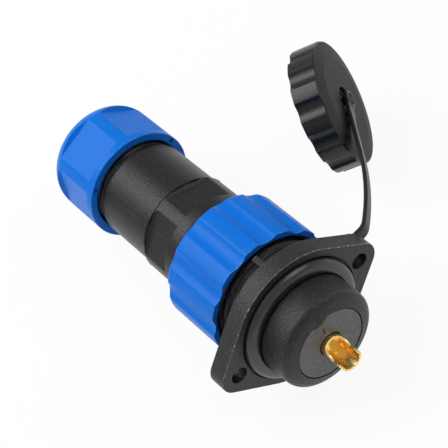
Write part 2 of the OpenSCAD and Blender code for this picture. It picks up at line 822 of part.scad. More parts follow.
module gland_clamp() {
    slot_w = 1.4;
    spigot_start = seal_end + seat / 2;
    color(grey) on_axis() difference() {
        turned([at(clamp_bore, spigot_start), at(gland_bore - run, spigot_start),
                at(gland_bore - run, clamp_flange), at(neck_r - seat, clamp_flange),
                at(neck_r - seat, clamp_flange_end), at(finger_root_r, clamp_flange_end),
                at(finger_tip_r, finger_end), at(clamp_bore, finger_end)]);
        for (i = [0 : finger_count - 1])
            rotate([0, 0, i * 360 / finger_count])
                translate([0, -slot_w / 2, -finger_end - over])
                    cube([neck_r, slot_w, finger_len + over]);
    }
}

module gland_nut() {
    dome = [nut_r - nut_round, nut_round - nut_end];
    cone_start = clamp_flange_end + run;
    cone_end = finger_end + run;
    color(blue) on_axis() difference() {
        turned(concat(
            [at(0, nut_start), at(nut_r - edge / 2, nut_start), at(nut_r, nut_start + edge / 2)],
            arc(dome, nut_round, 0, -90), [at(0, nut_end)]));
        turned([at(0, nut_start - over), at(nut_mouth_r, nut_start - over),
                at(nut_mouth_r, nut_start + nut_mouth_depth), at(nut_bore, nut_start + nut_mouth_depth),
                at(nut_bore, cone_start), at(finger_root_r + cone_offset, cone_start),
                at(finger_tip_r + cone_offset, cone_end), at(nut_hole_r, cone_end),
                at(nut_hole_r, nut_end + over), at(0, nut_end + over)]);
        for (i = [0 : nut_flat_count - 1])
            rotate([0, 0, nut_turn + i * 360 / nut_flat_count])
                flat_cut(nut_flat, nut_wall, 2 * nut_r, nut_flat_start, nut_flat_start + nut_flat_len);
        for (i = [0 : rim_notch_count - 1])
            rotate([0, 0, nut_turn - 180 / nut_flat_count + i * 360 / rim_notch_count])
                translate([nut_mouth_r - over, -rim_notch_w / 2, -nut_start - rim_notch_depth])
                    cube([nut_r, rim_notch_w, rim_notch_depth + over]);
    }
}

receptacle_shell();
panel_gasket();
receptacle_insert();
socket_contact();
contact_band();
socket_entry_cap();
receptacle_insert_ring();
dust_cap();
cap_seal();
cap_strap();
plug_shell();
interface_seal();
coupling_ring();
plug_insert();
pin_contact();
pin_retainer();
plug_insert_ring();
gland_washer();
gland_seal();
gland_clamp();
gland_nut();
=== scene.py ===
"""Looks of a waterproof circular connector: its shown pieces and finishes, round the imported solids.

Shapes are modelled in millimetres on the connector's own axis. A station is a distance along +Y from
the panel face. An angle runs from +X, the strap's side, to +Z, the index lug's side.
"""

import json
import math
from collections import namedtuple

import bmesh
import bpy
from mathutils import Matrix, Vector


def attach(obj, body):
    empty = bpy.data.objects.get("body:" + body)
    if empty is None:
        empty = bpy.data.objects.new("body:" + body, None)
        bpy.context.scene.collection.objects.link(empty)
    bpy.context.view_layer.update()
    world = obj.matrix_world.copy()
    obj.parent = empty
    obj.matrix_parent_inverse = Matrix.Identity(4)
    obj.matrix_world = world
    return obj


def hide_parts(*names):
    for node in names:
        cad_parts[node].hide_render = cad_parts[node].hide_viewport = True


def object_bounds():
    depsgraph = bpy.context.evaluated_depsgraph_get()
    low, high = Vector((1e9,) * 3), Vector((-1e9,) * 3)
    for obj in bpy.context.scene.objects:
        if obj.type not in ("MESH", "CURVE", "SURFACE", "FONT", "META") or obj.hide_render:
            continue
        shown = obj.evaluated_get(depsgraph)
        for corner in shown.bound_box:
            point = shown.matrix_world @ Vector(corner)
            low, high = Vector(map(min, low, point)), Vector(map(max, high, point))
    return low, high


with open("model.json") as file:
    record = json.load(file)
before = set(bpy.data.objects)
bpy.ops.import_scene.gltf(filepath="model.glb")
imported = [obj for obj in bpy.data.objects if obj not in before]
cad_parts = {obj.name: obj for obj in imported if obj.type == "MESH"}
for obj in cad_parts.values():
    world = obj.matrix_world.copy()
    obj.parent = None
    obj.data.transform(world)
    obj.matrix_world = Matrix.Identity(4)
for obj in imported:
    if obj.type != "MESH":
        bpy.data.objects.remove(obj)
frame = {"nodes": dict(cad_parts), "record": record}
cad_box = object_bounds()

MM = 0.001
TURN = math.tau
MERGE = 1e-4
EDGE = 0.25
AXIS = Vector((0, -1, 0))
ORIGIN = Vector((0, 0, 0))
UP = Vector((0, 0, 1))
LUG_SIDE = math.radians(90)

# Flange and rear body
FLANGE_T = 5.2
FLANGE_R = 19.84
HOLE_X = 20.75
HOLE_R = 2.25
HOLE_EDGE = 0.2
FLANGE_FRONT_EDGE = 0.3
FLANGE_REAR_EDGE = 0.18
CORNER_R = 5.19
PLATE_BORE = 13.0
LUG_W = 1.6
LUG_END = 8.4
LUG_DEPTH = 2.2
REAR_R = 14.0
REAR_END = -11.9
RIM_EDGE_R = 12.35
RIM_EDGE = -11.25
RIM_START = -9.6
SCOOP_R = 2.0
GROOVE_R = 13.7
GASKET_R = 17.4
GASKET_TOP = -2.2
GASKET_SHOULDER = -1.2
GASKET_SHOULDER_R = 15.6
FOOT_GROOVE_R = 17.85
FOOT_GROOVE_END = 0.8

# Barrel
BARREL_R = 15.6
BARREL_ROOT = 14.75
BARREL_BORE = 12.4
BARREL_END = 23.0
BORE_FLOOR = 4.0
THREAD_START = 6.4
PITCH = 3.0

# Insert and socket
INSERT_R = 10.0
INSERT_FACE = -11.75
INSERT_SEAT = -3.0
INSERT_FLANGE_R = 11.0
KEY_AT = 11.8
KEY_R = 3.0
KEY_SPAN = math.radians(36)
KEY_SECTORS = ((KEY_SPAN, 72), (TURN - KEY_SPAN, 150))
SEAT_GAP = 0.1
TOWER_R = 6.6
TOWER_BORE = 4.1
TOWER_START = 0.5
TOWER_END = 15.5
SLIT_SIZE = (0.4, 1.0, 2.3)
SLIT_AT = 5.85
CUP_R = 3.1
CUP_BORE = 2.45
CUP_TIP = -19.5
CUP_ROOT = -6.0
CUP_CONE = 0.9
CUP_EDGE = 0.06
CUP_MERGE = 0.04
CUP_SIDES = 64
SOCKET_R = 4.0
SOCKET_BORE = 3.0
SOCKET_MOUTH_R = 3.3
SOCKET_END = 15.4
SOCKET_FLOOR = 7.0
CUP_FLOOR = -12.6
OPEN_END = -12.75
OPEN_Z = 0.0
OPEN_ROUND = 3.5

# Coupling ring
RING_R = 18.7
RING_BORE = 15.9
RING_START = 11.3
RING_END = 30.65
RING_LIP = 27.65
RING_LIP_BORE = 14.8
RING_MOUTH_R = 17.1
RING_MOUTH_END = 12.9
RING_ROUND = 1.2
RING_THREAD_H = 0.55
FLUTES = 12
FLUTE_DEPTH = 1.05
FLUTE_W = 5.4
FLUTE_TURN = math.radians(10.5)

# Plug shell
SPIGOT_R = 12.1
SPIGOT_TIP = 6.0
SPIGOT_BORE = 10.6
SPIGOT_MOUTH_R = 9.5
BODY_BORE = 10.9
BODY_FLOOR = 28.0
PLUG_FLANGE_R = 15.5
PLUG_FLANGE_START = 24.65
PLUG_FLANGE_END = 27.35
COLLAR_R = 14.5
BEAD_R = 15.4
BEAD_START = 30.95
BEAD_END = 33.55
FLATS_START = 37.05
FLATS_END = 47.15
FLAT_COUNT = 5
FLAT_DIST = 12.733
LAND_HALF = math.radians(7.43)
LAND_TURN = math.radians(102.7)
FLATS_RISE = 45.75
RELIEF_R = 13.3
RELIEF_START = 46.45
BODY_R = 13.8
BODY_END = 66.15
NECK_R = 13.1
NECK_ROOT = 12.55
NECK_PITCH = 1.5
SHELL_END = 80.05
GLAND_BORE = 11.9
GLAND_SEAT = 65.55
SEAM_TURN = math.radians(133)
SEAM_HALF = math.radians(0.35)
SEAM_H = 0.07
SEAM_END = 58.5

# Gland nut
NUT_R = 15.95
NUT_BORE = 13.4
NUT_START = 68.8
NUT_END = 90.45
NUT_MOUTH_R = 13.75
NUT_MOUTH_END = 70.4
NUT_FLAT = 14.6
NUT_FLAT_START = 71.1
NUT_FLAT_END = 84.7
NUT_FLATS = 6
NUT_TURN = math.radians(48)
NUT_FLAT_RISE = 2.5
NUT_EDGE = 0.05
NUT_THREAD_H = 0.4
NUT_ROUND = 6.6
NUT_HOLE_R = 8.0
CONE_START = 82.65
CONE_END = 88.65
CONE_ROOT_R = 12.62
CONE_TIP_R = 10.32
NOTCH_AT = 14.85
NOTCH_LEN = 1.2
NOTCH_W = 1.4
NOTCH_DEPTH = 0.8
NOTCHES = 3

# Dust cap, along its own axis from the middle of the strap's eye
CAP_R = 17.7
CAP_BORE = 15.9
CAP_RIM = -9.4
CAP_SHOULDER = -1.5
CAP_TOP = -0.85
CAP_ROOF = -3.5
CAP_DISC_R = 13.0
CAP_GROOVES = 12
CAP_GROOVE_DEPTH = 1.15
CAP_GROOVE_W = 5.2
CAP_GROOVE_TURN = math.radians(8)
CAP_GROOVE_FADE = -2.075
CAP_EDGE = 0.4
CAP_SEAL_END = -4.7
CAP_SEAL_DISH_R = 12.2
CAP_SEAL_LIP_R = 12.8
CAP_THREAD_H = 0.5
POCKET_R = 4.0
POCKET_FLOOR = -2.15
BUTTON_NECK_R = 0.9
BUTTON_HEAD_R = 1.5
BUTTON_BOSS_R = 1.2
BUTTON_SEAT = -0.75
BUTTON_HEAD = 0.1
BUTTON_TOP = 0.65

# Strap, along the middle line from the flange's eye to the cap's eye
STRAP_W = 3.9
STRAP_T = 1.1
STRAP_EDGE = 0.28
STRAP_STEPS = 72
EYE_R = 4.4
CAP_EYE_R = 2.6
EYE_T = 1.3
EYE_LAP = 1.2
CAP_LAP = 0.8
EYE_HOLE_R = 0.98
EYE_SINK_R = 1.65
SCREW_HOLE_R = 2.75
STRAP_BEND_R = 4.0
STRAP_CURVE_R = 68.7
STRAP_LIFT = math.radians(40)
STRAP_TILT = math.radians(52.65)
STRAP_KICK = math.radians(6)
STRAP_TWIST = math.radians(10.9)
STRAP_REST = FLANGE_T + EYE_T / 2
STRAP_SETTLE = 6.0
STRAP_RUN = (
    (6.0, 0.0),
    (STRAP_BEND_R * STRAP_LIFT, STRAP_LIFT),
    (STRAP_CURVE_R * (STRAP_TILT + STRAP_KICK - STRAP_LIFT), STRAP_TILT + STRAP_KICK - STRAP_LIFT),
    (11.9, 0.0),
    (STRAP_SETTLE, -STRAP_KICK),
    (CAP_EYE_R - CAP_LAP / 2, 0.0),
)
STRAP_LEN = sum(length for length, turn in STRAP_RUN)
STRAP_FLAT_END = STRAP_LEN - STRAP_RUN[-1][0]


# Finishes, with their grains and lines in millimetres
CLOUD_GRAIN = 9.0
SPECK_GRAIN = 1.2
SPECK_START = 0.54
SPECK_FULL = 0.68
SHEEN_SWING = 0.09
LINE_GRAIN = 0.35
LINE_STRETCH = (1.0, 0.06, 1.0)
LINE_DEPTH = 0.03


class Value:
    """A socket of a material's nodes. Arithmetic on it adds the Math nodes that work it out."""

    def __init__(self, finish, socket):
        self.finish = finish
        self.socket = socket

    def math(self, operation, first, second):
        return self.finish.node("ShaderNodeMath", {"operation": operation}, {0: first, 1: second})

    def __add__(self, other):
        return self.math("ADD", self, other)

    def __radd__(self, other):
        return self.math("ADD", other, self)

    def __mul__(self, other):
        return self.math("MULTIPLY", self, other)

    def __rmul__(self, other):
        return self.math("MULTIPLY", other, self)


class Finish:
    """The nodes of a material or a world in the making."""

    def __init__(self, owner):
        owner.use_nodes = True
        self.tree = owner.node_tree
        self.tree.nodes.clear()

    def node(self, kind, settings=None, sockets=None, output=0):
        """Adds a node with its settings and its sockets' values or links, and gives one of its outputs."""
        made = self.tree.nodes.new(kind)
        for name, value in (settings or {}).items():
            setattr(made, name, value)
        for name, value in (sockets or {}).items():
            if isinstance(value, Value):
                self.tree.links.new(value.socket, made.inputs[name])
            else:
                made.inputs[name].default_value = value
        return Value(self, made.outputs[output]) if made.outputs else made

    def place(self):
        return self.node("ShaderNodeTexCoord", output="Object")

    def noise(self, grain, detail=2.0, roughness=0.5, place=None):
        """Noise with grains of about that many millimetres."""
        return self.node("ShaderNodeTexNoise", {"noise_dimensions": "3D"},
                         {"Vector": place or self.place(), "Scale": 1 / (grain * MM), "Detail": detail,
                          "Roughness": roughness}, "Fac")

    def between(self, factor, low, high):
        """A number that runs from low to high with a factor."""
        return self.node("ShaderNodeMapRange", {"clamp": True},
                         {"Value": factor, "To Min": low, "To Max": high})

    def band(self, value, low, high):
        """0 below low, 1 above high, and smooth between them."""
        return self.node("ShaderNodeMapRange", {"interpolation_type": "SMOOTHSTEP"},
                         {"Value": value, "From Min": low, "From Max": high})

    def mixed(self, factor, first, second):
        """A colour between two colours."""
        return self.node("ShaderNodeMix", {"data_type": "RGBA"}, {0: factor, 6: first, 7: second}, 2)

    def bump(self, height, depth):
        """The surface's normal over a height of that many millimetres."""
        return self.node("ShaderNodeBump", None, {"Height": height, "Distance": depth * MM})

    def looked_at(self):
        """1 for what the camera sees, straight or by a reflection, and 0 for the light on the part."""
        rays = ("Is Camera Ray", "Is Glossy Ray", "Is Transmission Ray")
        camera, glossy, clear = (self.node("ShaderNodeLightPath", output=ray) for ray in rays)
        return camera + glossy + clear

    def surface(self, sockets):
        shader = self.node("ShaderNodeBsdfPrincipled", None, sockets)
        self.node("ShaderNodeOutputMaterial", None, {"Surface": shader})


def shade(colour, level):
    """A colour with its brightness multiplied."""
    return tuple(level * c for c in colour[:3]) + (1.0,)


def moulded(name, colour, roughness, gloss, grain, depth, speck, mottle=0.15):
    """Moulded plastic or rubber: a fine grain with paler specks, a faint cloudy tone and an uneven sheen."""
    material = bpy.data.materials.new(name)
    finish = Finish(material)
    cloud = finish.noise(CLOUD_GRAIN, 3.0)
    pits = finish.noise(grain, 3.0, 0.6)
    specks = finish.band(finish.noise(grain * SPECK_GRAIN, 2.0), SPECK_START, SPECK_FULL)
    tone = finish.mixed(cloud, shade(colour, 1 - mottle), shade(colour, 1 + mottle))
    tone = finish.mixed(specks, tone, tuple(c + speck for c in colour) + (1.0,))
    sheen = pits * 0.7 + cloud * 0.3
    finish.surface({
        "Base Color": tone,
        "Roughness": finish.between(sheen, roughness - SHEEN_SWING, roughness + SHEEN_SWING),
        "Specular IOR Level": gloss,
        "Normal": finish.bump(pits, depth),
    })
    return material


def plated(name, colour):
    """Polished plating over a drilled contact: fine lines along the axis and a slightly uneven gloss."""
    material = bpy.data.materials.new(name)
    finish = Finish(material)
    drawn = finish.node("ShaderNodeVectorMath", {"operation": "MULTIPLY"},
                        {0: finish.place(), 1: LINE_STRETCH})
    lines = finish.noise(LINE_GRAIN, 2.0, 0.5, drawn)
    finish.surface({
        "Base Color": finish.mixed(lines, shade(colour, 0.86), shade(colour, 1.04)),
        "Metallic": 1.0,
        "Roughness": finish.between(lines, 0.12, 0.30),
        "Normal": finish.bump(lines, LINE_DEPTH),
    })
    return material


FINISHES = {
    "black_plastic": moulded("satin_black_shell", (0.0028, 0.0027, 0.0028), 0.34, 0.33, 0.5, 0.12, 0.015),
    "flange_plastic": moulded("matt_black_flange", (0.0090, 0.0088, 0.0092), 0.42, 0.38, 0.5, 0.18, 0.024),
    # Paler rear edge of the flange: a painted highlight along the edge, with some rubbed wear
    "flange_edge_wear_and_highlight": moulded("rubbed_and_painted_highlight_flange_edge", (0.08, 0.08, 0.08), 0.4, 0.4, 1.0, 0.1, 0.32),
    "cap_plastic": moulded("satin_black_cap", (0.0046, 0.0043, 0.0041), 0.29, 0.38, 0.4, 0.06, 0.012),
    "cap_face": moulded("matt_black_cap_face", (0.0052, 0.0048, 0.0046), 0.52, 0.17, 0.4, 0.06, 0.012),
    "insulator_plastic": moulded("grey_black_insulator", (0.100, 0.100, 0.104), 0.4, 0.36, 0.6, 0.2, 0.05),
    "blue_plastic": moulded("satin_blue_ring", (0.0008, 0.165, 0.70), 0.33, 0.11, 0.4, 0.05, 0.01, 0.03),
    # Lighter blue on the ring's and nut's front edge roundings: a painted highlight
    "blue_edge_highlight": moulded("painted_highlight_blue_edge", (0.015, 0.20, 0.74), 0.3, 0.16, 1.0, 0.05, 0.08),
    "gold_plate": plated("polished_gold_plating", (0.95, 0.67, 0.26)),
    "seal_rubber": moulded("smooth_seal_rubber", (0.013, 0.013, 0.0133), 0.24, 0.60, 0.8, 0.05, 0.012),
    "strap_rubber": moulded("smooth_strap_rubber", (0.0065, 0.0063, 0.006), 0.36, 0.26, 0.45, 0.08, 0.010),
}

Corner = namedtuple("Corner", "r d rounding rows", defaults=(0.0, 1))


def section(corners, steps=5):
    """Outline of a turned piece's section. A corner has a radius, a station, a rounding and the number of
    rows that its run to the next corner is divided into."""
    bm = bmesh.new()
    points = [bm.verts.new((c.r, c.d, 0)) for c in corners]
    bm.faces.new(points)
    for point, corner in zip(points, corners):
        if corner.rounding:
            bmesh.ops.bevel(bm, geom=[point], offset=corner.rounding, offset_type="OFFSET",
                            segments=max(steps, int(3 * corner.rounding)), profile=0.5,
                            affect="VERTICES", clamp_overlap=True, material=-1)
    bmesh.ops.delete(bm, geom=bm.faces[:], context="FACES_ONLY")
    for start, end in zip(corners, corners[1:] + corners[:1]):
        if start.rows > 1:
            middle = Vector((start.r + end.r, start.d + end.d, 0)) / 2
            run = min(bm.edges, key=lambda e: ((e.verts[0].co + e.verts[1].co) / 2 - middle).length)
            bmesh.ops.subdivide_edges(bm, edges=[run], cuts=start.rows - 1)
    return bm


def turned(corners, sectors=((TURN, 192),), start=0.0):
    """A section spun round the axis, sector by sector, from a start angle."""
    bm = section(corners)
    bmesh.ops.rotate(bm, verts=bm.verts, cent=ORIGIN, matrix=Matrix.Rotation(start, 3, AXIS))
    ring = bm.verts[:] + bm.edges[:]
    for angle, steps in sectors:
        ring = bmesh.ops.spin(bm, geom=ring, cent=ORIGIN, axis=AXIS, angle=angle, steps=steps)["geom_last"]
    bmesh.ops.remove_doubles(bm, verts=bm.verts, dist=MERGE)
    loose = [e for e in bm.edges if not e.link_faces]
    bmesh.ops.delete(bm, geom=loose, context="EDGES")
    bmesh.ops.recalc_face_normals(bm, faces=bm.faces)
    return bm


def rows_at(bm, *stations):
    """Cuts two rows of edges close to each station, for a wall across the axis."""
    for station in stations:
        for side in (-0.02, 0.02):
            bmesh.ops.bisect_plane(bm, geom=bm.verts[:] + bm.edges[:] + bm.faces[:], dist=MERGE,
                                   plane_co=(0, station + side, 0), plane_no=(0, 1, 0))


def carve(bm, radius_at):
    """Moves points to the radius that a function of their radius, station and angle gives."""
    for vert in bm.verts:
        r = math.hypot(vert.co.x, vert.co.z)
        if r > MERGE:
            scale = radius_at(r, vert.co.y, math.atan2(vert.co.z, vert.co.x)) / r
            vert.co.x *= scale
            vert.co.z *= scale
    bmesh.ops.remove_doubles(bm, verts=bm.verts, dist=MERGE)


def second_finish(bm, picked):
    """Gives the second finish to the faces whose middle's radius and station a test picks."""
    for face in bm.faces:
        middle = face.calc_center_median()
        if picked(math.hypot(middle.x, middle.z), middle.y):
            face.material_index = 1


def soft_min(first, second, blend):
    """The smaller of two radii, with the edge between them rounded."""
    near = max(blend - abs(first - second), 0) / blend
    return min(first, second) - near * near * blend / 4


def from_nearest(angle, count, turn):
    """Angle to the nearest of several places spaced round the axis."""
    pitch = TURN / count
    return (angle - turn + pitch / 2) % pitch - pitch / 2


def groove_radius(off, r, width, depth, shrink=0.0):
    """Radius of a round-bottomed groove's surface at an angle from its middle. The groove runs out as its
    cutter shrinks."""
    sag = depth - r + math.sqrt(r * r - width * width / 4)
    cutter = (width * width / 4 + sag * sag) / (2 * sag)
    centre = r - depth + cutter
    cutter -= shrink
    reach = centre * math.sin(off)
    if abs(reach) >= cutter:
        return math.inf
    return centre * math.cos(off) - math.sqrt(cutter * cutter - reach * reach)


def ridge(d, angle, pitch):
    """Height from 0 to 1 of a right-hand thread's ridge at a station and an angle."""
    place = (d / pitch + angle / TURN) % 1.0
    flank = abs(place - 0.5) * 2
    return min(1.0, max(0.0, (flank - 0.2) / 0.5))


def fade(value, start, end):
    """Smooth step from 0 at start to 1 at end."""
    t = min(1.0, max(0.0, (value - start) / (end - start)))
    return t * t * (3 - 2 * t)


def prism(points, low, high, rounding=None):
    """A straight solid on an outline in the Y-Z plane, from one X to another. One corner may be rounded."""
    bm = bmesh.new()
    corners = [bm.verts.new((low, y, z)) for y, z in points]
    face = bm.faces.new(corners)
    if rounding:
        index, size = rounding
        bmesh.ops.bevel(bm, geom=[corners[index]], offset=size, offset_type="OFFSET", segments=14,
                        profile=0.5, affect="VERTICES", clamp_overlap=True, material=-1)
        face = bm.faces[:][0]
    pushed = bmesh.ops.extrude_face_region(bm, geom=[face])["geom"]
    bmesh.ops.translate(bm, vec=(high - low, 0, 0),
                        verts=[v for v in pushed if isinstance(v, bmesh.types.BMVert)])
    bmesh.ops.recalc_face_normals(bm, faces=bm.faces)
    return bm


def block(size, centre, turn=0.0, edge=0.0):
    """A block with rounded edges, turned round the axis."""
    bm = bmesh.new()
    bmesh.ops.create_cube(bm, size=1)
    bmesh.ops.scale(bm, vec=size, verts=bm.verts)
    if edge:
        bmesh.ops.bevel(bm, geom=bm.edges[:], offset=edge, offset_type="OFFSET", segments=3, profile=0.5,
                        affect="EDGES", clamp_overlap=True, material=-1)
    bmesh.ops.translate(bm, vec=centre, verts=bm.verts)
    bmesh.ops.rotate(bm, verts=bm.verts, cent=ORIGIN, matrix=Matrix.Rotation(turn, 3, AXIS))
    return bm


def rod(r, low, high, x=0.0, segments=64):
    """A round bar along the axis between two stations, at an X."""
    bm = bmesh.new()
    place = Matrix.Translation((x, (low + high) / 2, 0)) @ Matrix.Rotation(TURN / 4, 4, "X")
    bmesh.ops.create_cone(bm, cap_ends=True, segments=segments, radius1=r, radius2=r, depth=high - low,
                          matrix=place)
    return bm


def loose_object(bm):
    mesh = bpy.data.meshes.new("working")
    bm.to_mesh(mesh)
    bm.free()
    obj = bpy.data.objects.new("working", mesh)
    bpy.context.scene.collection.objects.link(obj)
    return obj


def combined(bm, operation, *tools):
    """A solid joined with other solids, or cut by them."""
    base = loose_object(bm)
    cutters = [loose_object(tool) for tool in tools]
    for cutter in cutters:
        step = base.modifiers.new("combine", "BOOLEAN")
        step.operation = operation
        step.solver = "EXACT"
        step.object = cutter
    bpy.context.view_layer.update()
    shape = base.evaluated_get(bpy.context.evaluated_depsgraph_get())
    result = bmesh.new()
    result.from_mesh(shape.data)
    for obj in [base] + cutters:
        bpy.data.meshes.remove(obj.data)
    bmesh.ops.remove_doubles(result, verts=result.verts, dist=MERGE)
    return result


def soften(bm, size, picked, segments=3, clamp=True, least=35):
    """Rounds the edges that turn by at least some degrees and whose middle a test picks."""
    sharp = [e for e in bm.edges if len(e.link_faces) == 2 and e.calc_face_angle() > math.radians(least)
             and picked((e.verts[0].co + e.verts[1].co) / 2)]
    return bmesh.ops.bevel(bm, geom=sharp, offset=size, offset_type="OFFSET", segments=segments, profile=0.5,
                           affect="EDGES", clamp_overlap=clamp, material=-1)["faces"]


def piece(name, bm, body, slot, node, *finishes):
    """Puts a shape that was modelled in millimetres into the part, on a body and in a node's place, with
    finishes of its own or its slot's finish."""
    bmesh.ops.scale(bm, vec=(MM, MM, MM), verts=bm.verts)
    bmesh.ops.recalc_face_normals(bm, faces=bm.faces)
    for face in bm.faces:
        face.smooth = True
    for edge in bm.edges:
        edge.smooth = len(edge.link_faces) == 2 and edge.calc_face_angle() < math.radians(38)
    mesh = bpy.data.meshes.new(name)
    bm.to_mesh(mesh)
    bm.free()
    for finish in finishes or (slot,):
        mesh.materials.append(FINISHES[finish])
    obj = bpy.data.objects.new(name, mesh)
    bpy.context.scene.collection.objects.link(obj)
    flatten = obj.modifiers.new("flat_faces", "WEIGHTED_NORMAL")
    flatten.keep_sharp = True
    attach(obj, body)
    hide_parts(node)


def flange_plate():
    """The two-hole flange, with its edges and holes rounded and an opening inside the barrel's wall."""
    bm = bmesh.new()
    for x, r, segments in ((0, FLANGE_R, 192), (HOLE_X, CORNER_R, 96), (-HOLE_X, CORNER_R, 96)):
        for station in (0, FLANGE_T):
            place = Matrix.Translation((x, station, 0)) @ Matrix.Rotation(TURN / 4, 4, "X")
            bmesh.ops.create_circle(bm, cap_ends=False, segments=segments, radius=r, matrix=place)
    hull = bmesh.ops.convex_hull(bm, input=bm.verts[:])
    inside = {v for v in hull["geom_interior"] + hull["geom_unused"] if isinstance(v, bmesh.types.BMVert)}
    bmesh.ops.delete(bm, geom=list(inside), context="VERTS")
    bmesh.ops.dissolve_limit(bm, angle_limit=math.radians(0.5), verts=bm.verts, edges=bm.edges)
    bmesh.ops.recalc_face_normals(bm, faces=bm.faces)
    soften(bm, FLANGE_FRONT_EDGE, lambda p: p.y > FLANGE_T / 2)
    # The rear edge's rounding takes the second finish, a paler painted highlight with some rubbed wear
    for face in soften(bm, FLANGE_REAR_EDGE, lambda p: p.y < FLANGE_T / 2, 2):
        face.material_index = 1
    bm = combined(bm, "DIFFERENCE", rod(PLATE_BORE, -1, FLANGE_T + 1, 0, 128),
                  rod(HOLE_R, -1, FLANGE_T + 1, HOLE_X), rod(HOLE_R, -1, FLANGE_T + 1, -HOLE_X),
                  turned([Corner(GASKET_R, -1), Corner(FOOT_GROOVE_R, -1),
                          Corner(FOOT_GROOVE_R, FOOT_GROOVE_END), Corner(GASKET_R, FOOT_GROOVE_END)]))
    soften(bm, HOLE_EDGE, lambda p: math.hypot(abs(p.x) - HOLE_X, p.z) < HOLE_R + 0.1)
    return bm


def receptacle_shell():
    """Barrel with its thread, rear body with its keyed mouth, flange and index lug in one moulding."""
    bm = turned([
        Corner(BARREL_BORE, BARREL_END, 0.3),
        Corner(BARREL_R, BARREL_END, 0.5),
        Corner(BARREL_R, BARREL_END - 0.6, 0, 78),
        Corner(BARREL_R, FLANGE_T + 0.3),
        Corner(BARREL_R, FLANGE_T / 2),
        Corner(GROOVE_R, FLANGE_T / 2),
        Corner(GROOVE_R, GASKET_TOP - 0.1),
        Corner(REAR_R, GASKET_TOP - 0.1, 0.15),
        Corner(REAR_R, RIM_START, 0.4),
        Corner(REAR_R - 0.41, (RIM_START + RIM_EDGE) / 2, 0.4),
        Corner(RIM_EDGE_R, RIM_EDGE, 0.1),
        Corner(INSERT_R + SEAT_GAP, REAR_END + 0.02, 0.12),
        Corner(INSERT_R + SEAT_GAP, INSERT_SEAT - SEAT_GAP),
        Corner(INSERT_R + SEAT_GAP, INSERT_SEAT),
        Corner(INSERT_FLANGE_R + 2 * SEAT_GAP, INSERT_SEAT),
        Corner(INSERT_FLANGE_R + 2 * SEAT_GAP, BORE_FLOOR),
        Corner(BARREL_BORE, BORE_FLOOR),
    ], KEY_SECTORS, LUG_SIDE - KEY_SPAN / 2)

    def shaped(r, d, angle):
        if r > BARREL_ROOT and d > FLANGE_T:
            run_out = fade(d, THREAD_START - 0.6, THREAD_START) * (1 - fade(d, BARREL_END - 0.4, BARREL_END))
            root = BARREL_R - (BARREL_R - BARREL_ROOT) * (1 - ridge(d, angle, PITCH) * run_out)
            return min(r, root)
        if r < INSERT_R + 0.5 and d < INSERT_SEAT - SEAT_GAP / 2:
            off = angle - LUG_SIDE
            return r - max(0, INSERT_R + SEAT_GAP - keyed(off, KEY_R - SEAT_GAP))
        return r

    carve(bm, shaped)
    bm = combined(bm, "DIFFERENCE", rim_scoop())
    lug = block((LUG_W, LUG_END - FLANGE_T + 1, LUG_DEPTH),
                (0, (LUG_END + FLANGE_T - 1) / 2, FLANGE_R - LUG_DEPTH / 2 - 0.02), 0, 0.18)
    return combined(bm, "UNION", flange_plate(), lug)


def keyed(off, r):
    """Radius of the round key in the rear mouth, at an angle from the lug's side."""
    reach = KEY_AT * math.sin(off)
    if abs(reach) >= r or math.cos(off) < 0:
        return math.inf
    return KEY_AT * math.cos(off) - math.sqrt(r * r - reach * reach)


def rim_scoop():
    """Round bar that cuts the soft scoop from the rear body's side down to the key."""
    fall, run_in = RIM_START - REAR_END, REAR_R - INSERT_R
    slope = math.atan2(fall, run_in)
    bm = rod(SCOOP_R, -8, 8)
    bmesh.ops.rotate(bm, verts=bm.verts, cent=ORIGIN, matrix=Matrix.Rotation(TURN / 4 - slope, 3, "X"))
    station = REAR_END + fall / 2 - SCOOP_R * math.cos(slope)
    height = (REAR_R + INSERT_R) / 2 + SCOOP_R * math.sin(slope)
    bmesh.ops.translate(bm, verts=bm.verts, vec=(0, station, height))
    return bm


def panel_gasket():
    return turned([
        Corner(GROOVE_R + SEAT_GAP, 0),
        Corner(GASKET_R, 0, 0.15),
        Corner(GASKET_R, GASKET_SHOULDER, 1.0),
        Corner(GASKET_SHOULDER_R, GASKET_TOP, 0.9),
        Corner(REAR_R + 0.2, GASKET_TOP, 0.25),
        Corner(GROOVE_R + SEAT_GAP, GASKET_TOP + 0.5),
    ])


def receptacle_insert():
    """Insulator with its keying notch, the contact's hole and a small slit mark."""
    bm = turned([
        Corner(CUP_R + 0.2, INSERT_FACE, 0.2, 4),
        Corner(INSERT_R - SEAT_GAP, INSERT_FACE, 0.12),
        Corner(INSERT_R - SEAT_GAP, INSERT_SEAT - SEAT_GAP),
        Corner(INSERT_R, INSERT_SEAT),
        Corner(INSERT_FLANGE_R, INSERT_SEAT, 0.2),
        Corner(INSERT_FLANGE_R, TOWER_START, 0.2),
        Corner(TOWER_R, TOWER_START),
        Corner(TOWER_R, TOWER_END, 0.3),
        Corner(TOWER_BORE, TOWER_END),
        Corner(TOWER_BORE, CUP_ROOT),
        Corner(CUP_R + 0.2, CUP_ROOT),
    ], KEY_SECTORS, LUG_SIDE - KEY_SPAN / 2)

    def notched(r, d, angle):
        if r > INSERT_R - 0.4 and d < INSERT_SEAT - SEAT_GAP / 2:
            return r - max(0, INSERT_R - keyed(angle - LUG_SIDE, KEY_R + SEAT_GAP))
        return r

    carve(bm, notched)
    return combined(bm, "DIFFERENCE", block(SLIT_SIZE, (0, INSERT_FACE - 0.1, SLIT_AT)))


